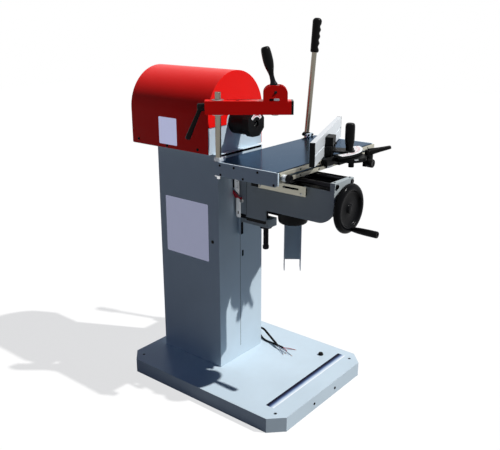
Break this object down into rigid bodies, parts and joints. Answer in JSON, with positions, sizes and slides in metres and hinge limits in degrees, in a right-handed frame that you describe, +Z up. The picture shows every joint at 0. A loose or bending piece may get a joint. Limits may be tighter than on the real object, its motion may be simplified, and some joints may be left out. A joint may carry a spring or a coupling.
{
  "type": "horizontal slot mortiser",
  "caption": "Floor-standing slot mortiser: motor head with guarded chuck on a column, and a lifting, two-way sliding table with clamp arm, hand lever and mitre fence.",
  "frame": {"origin": "on the floor under the middle of the base tray", "axes": "+Z up, the operator stands on the -Y side and the spindle points along -Y, +X to the operator's right"},
  "size_m": [0.7695, 0.9728, 1.3347],
  "materials": {
    "stand_grey": "smooth light grey powder coat",
    "hood_red": "glossy red powder coat",
    "knee_grey": "light grey paint on cast and plate parts",
    "table_steel": "ground steel with a dark blue sheen",
    "bright_steel": "turned and ground steel",
    "dark_steel": "blackened steel",
    "aluminium": "extruded aluminium",
    "black_plastic": "black moulded plastic",
    "brass": "bronze and brass bushes",
    "cable_black": "black cable sheath"
  },
  "bodies": {
    "stand": {"base_tray": "stand_grey", "base_stiffener": "stand_grey", "column": "stand_grey", "column_rail": "bright_steel", "nut_bracket": "knee_grey", "lift_nut": "brass", "motor_tray": "stand_grey", "motor_housing": "knee_grey", "fan_cover": "knee_grey", "spindle_bearings": "bright_steel", "hood": "hood_red", "chuck_guard": "black_plastic", "cable_glands": "black_plastic", "supply_cable": "cable_black", "motor_cable": "cable_black"},
    "rotor": {"motor_shaft": "bright_steel", "cooling_fan": "black_plastic", "chuck_body": "bright_steel", "chuck_jaws": "bright_steel"},
    "knee": {"knee_casting": "knee_grey", "knee_gibs": "bright_steel", "guide_rods": "dark_steel", "knee_collar": "black_plastic", "switch_bracket": "stand_grey", "knee_bushes": "brass", "strip_spacers": "black_plastic", "depth_strip": "aluminium"},
    "lift_screw": {"lift_screw": "dark_steel", "screw_gear": "bright_steel"},
    "handwheel": {"handwheel": "black_plastic", "wheel_shaft": "bright_steel", "shaft_gear": "bright_steel"},
    "wheel_grip": {"wheel_grip": "black_plastic"},
    "saddle": {"saddle_plate": "knee_grey", "rod_blocks": "bright_steel", "cross_carriages": "bright_steel"},
    "table": {"table_top": "table_steel", "table_ends": "knee_grey", "table_beam": "knee_grey", "slot_strips": "aluminium", "cross_rods": "bright_steel", "clamp_post": "bright_steel", "lever_bracket": "bright_steel"},
    "hand_lever": {"lever_rod": "bright_steel", "lever_grip": "black_plastic"},
    "arm_bush": {"arm_bush": "bright_steel"},
    "clamp_arm": {"arm_tube": "hood_red", "arm_cap": "black_plastic"},
    "cam_lever": {"cam_lever": "dark_steel", "cam_grip": "black_plastic"},
    "plunger": {"clamp_plunger": "bright_steel"},
    "arm_lock": {"arm_lock": "black_plastic"},
    "gauge": {"gauge_slide": "black_plastic"},
    "mitre_fence": {"fence_head": "black_plastic", "fence": "aluminium", "fence_caps": "black_plastic"},
    "gauge_grip": {"gauge_grip": "black_plastic"},
    "gauge_lock": {"gauge_lock": "black_plastic"},
    "gauge_knob": {"gauge_knob": "black_plastic"},
    "slot_stop": {"slot_stop": "black_plastic"}
  },
  "joints": [
    {"name": "spindle_spin", "type": "hinge", "parent": "stand", "child": "rotor", "pos_m": [0, 0, 0.986], "axis": [0, 1, 0], "continuous": true},
    {"name": "knee_lift", "type": "slide", "parent": "stand", "child": "knee", "axis": [0, 0, 1], "range_m": [-0.055, 0.055]},
    {"name": "lift_screw_turn", "type": "hinge", "parent": "knee", "child": "lift_screw", "pos_m": [0, -0.095, 0.711], "axis": [0, 0, 1], "range_deg": [-3965, 3965]},
    {"name": "handwheel_turn", "type": "hinge", "parent": "knee", "child": "handwheel", "pos_m": [0, -0.4353, 0.7496], "axis": [0, 1, 0], "range_deg": [-3965, 3965]},
    {"name": "wheel_grip_turn", "type": "hinge", "parent": "handwheel", "child": "wheel_grip", "pos_m": [0.00488, -0.4353, 0.67977], "axis": [0, 1, 0], "continuous": true},
    {"name": "saddle_slide", "type": "slide", "parent": "knee", "child": "saddle", "axis": [0, 1, 0], "range_m": [-0.115, 0.01]},
    {"name": "table_slide", "type": "slide", "parent": "saddle", "child": "table", "axis": [1, 0, 0], "range_m": [-0.22, 0]},
    {"name": "lever_rake", "type": "hinge", "parent": "table", "child": "hand_lever", "pos_m": [0.405, 0.0153, 0.855], "axis": [0, 1, 0], "range_deg": [-15, 15]},
    {"name": "arm_height", "type": "slide", "parent": "table", "child": "arm_bush", "axis": [0, 0, 1], "range_m": [-0.1, 0.012]},
    {"name": "arm_swivel", "type": "hinge", "parent": "arm_bush", "child": "clamp_arm", "pos_m": [-0.165, -0.017, 1.06], "axis": [0, 0, 1], "range_deg": [-30, 15]},
    {"name": "cam_turn", "type": "hinge", "parent": "clamp_arm", "child": "cam_lever", "pos_m": [-0.04543, -0.16466, 1.1105], "axis": [0.7771, 0.6293, 0], "range_deg": [0, 80]},
    {"name": "plunger_slide", "type": "slide", "parent": "clamp_arm", "child": "plunger", "axis": [0, 0, -1], "range_m": [0, 0.0072]},
    {"name": "arm_lock_turn", "type": "hinge", "parent": "clamp_arm", "child": "arm_lock", "pos_m": [-0.165, -0.017, 1.06], "axis": [0.6293, -0.7771, 0], "range_deg": [-70, 0]},
    {"name": "gauge_travel", "type": "slide", "parent": "table", "child": "gauge", "axis": [1, 0, 0], "range_m": [0, 0.12]},
    {"name": "fence_swivel", "type": "hinge", "parent": "gauge", "child": "mitre_fence", "pos_m": [0.185, -0.318, 0.885], "axis": [0, 0, 1], "range_deg": [-23, 12]},
    {"name": "gauge_grip_turn", "type": "hinge", "parent": "gauge", "child": "gauge_grip", "pos_m": [0.185, -0.318, 0.9], "axis": [0, 0, 1], "continuous": true},
    {"name": "gauge_lock_turn", "type": "hinge", "parent": "gauge", "child": "gauge_lock", "pos_m": [0.237, -0.364, 0.885], "axis": [0, 0, 1], "range_deg": [-40, 40]},
    {"name": "gauge_knob_turn", "type": "hinge", "parent": "gauge", "child": "gauge_knob", "pos_m": [0.206, -0.381, 0.858], "axis": [0, 1, 0], "continuous": true},
    {"name": "slot_stop_travel", "type": "slide", "parent": "table", "child": "slot_stop", "axis": [1, 0, 0], "range_m": [0, 0.2]}
  ],
  "couplings": [
    {"joint": "handwheel_turn", "follows": "knee_lift", "rad_per_m": 1256.6},
    {"joint": "lift_screw_turn", "follows": "knee_lift", "rad_per_m": -1256.6},
    {"joint": "plunger_slide", "follows": "cam_turn", "m_per_rad": 0.005}
  ]
}
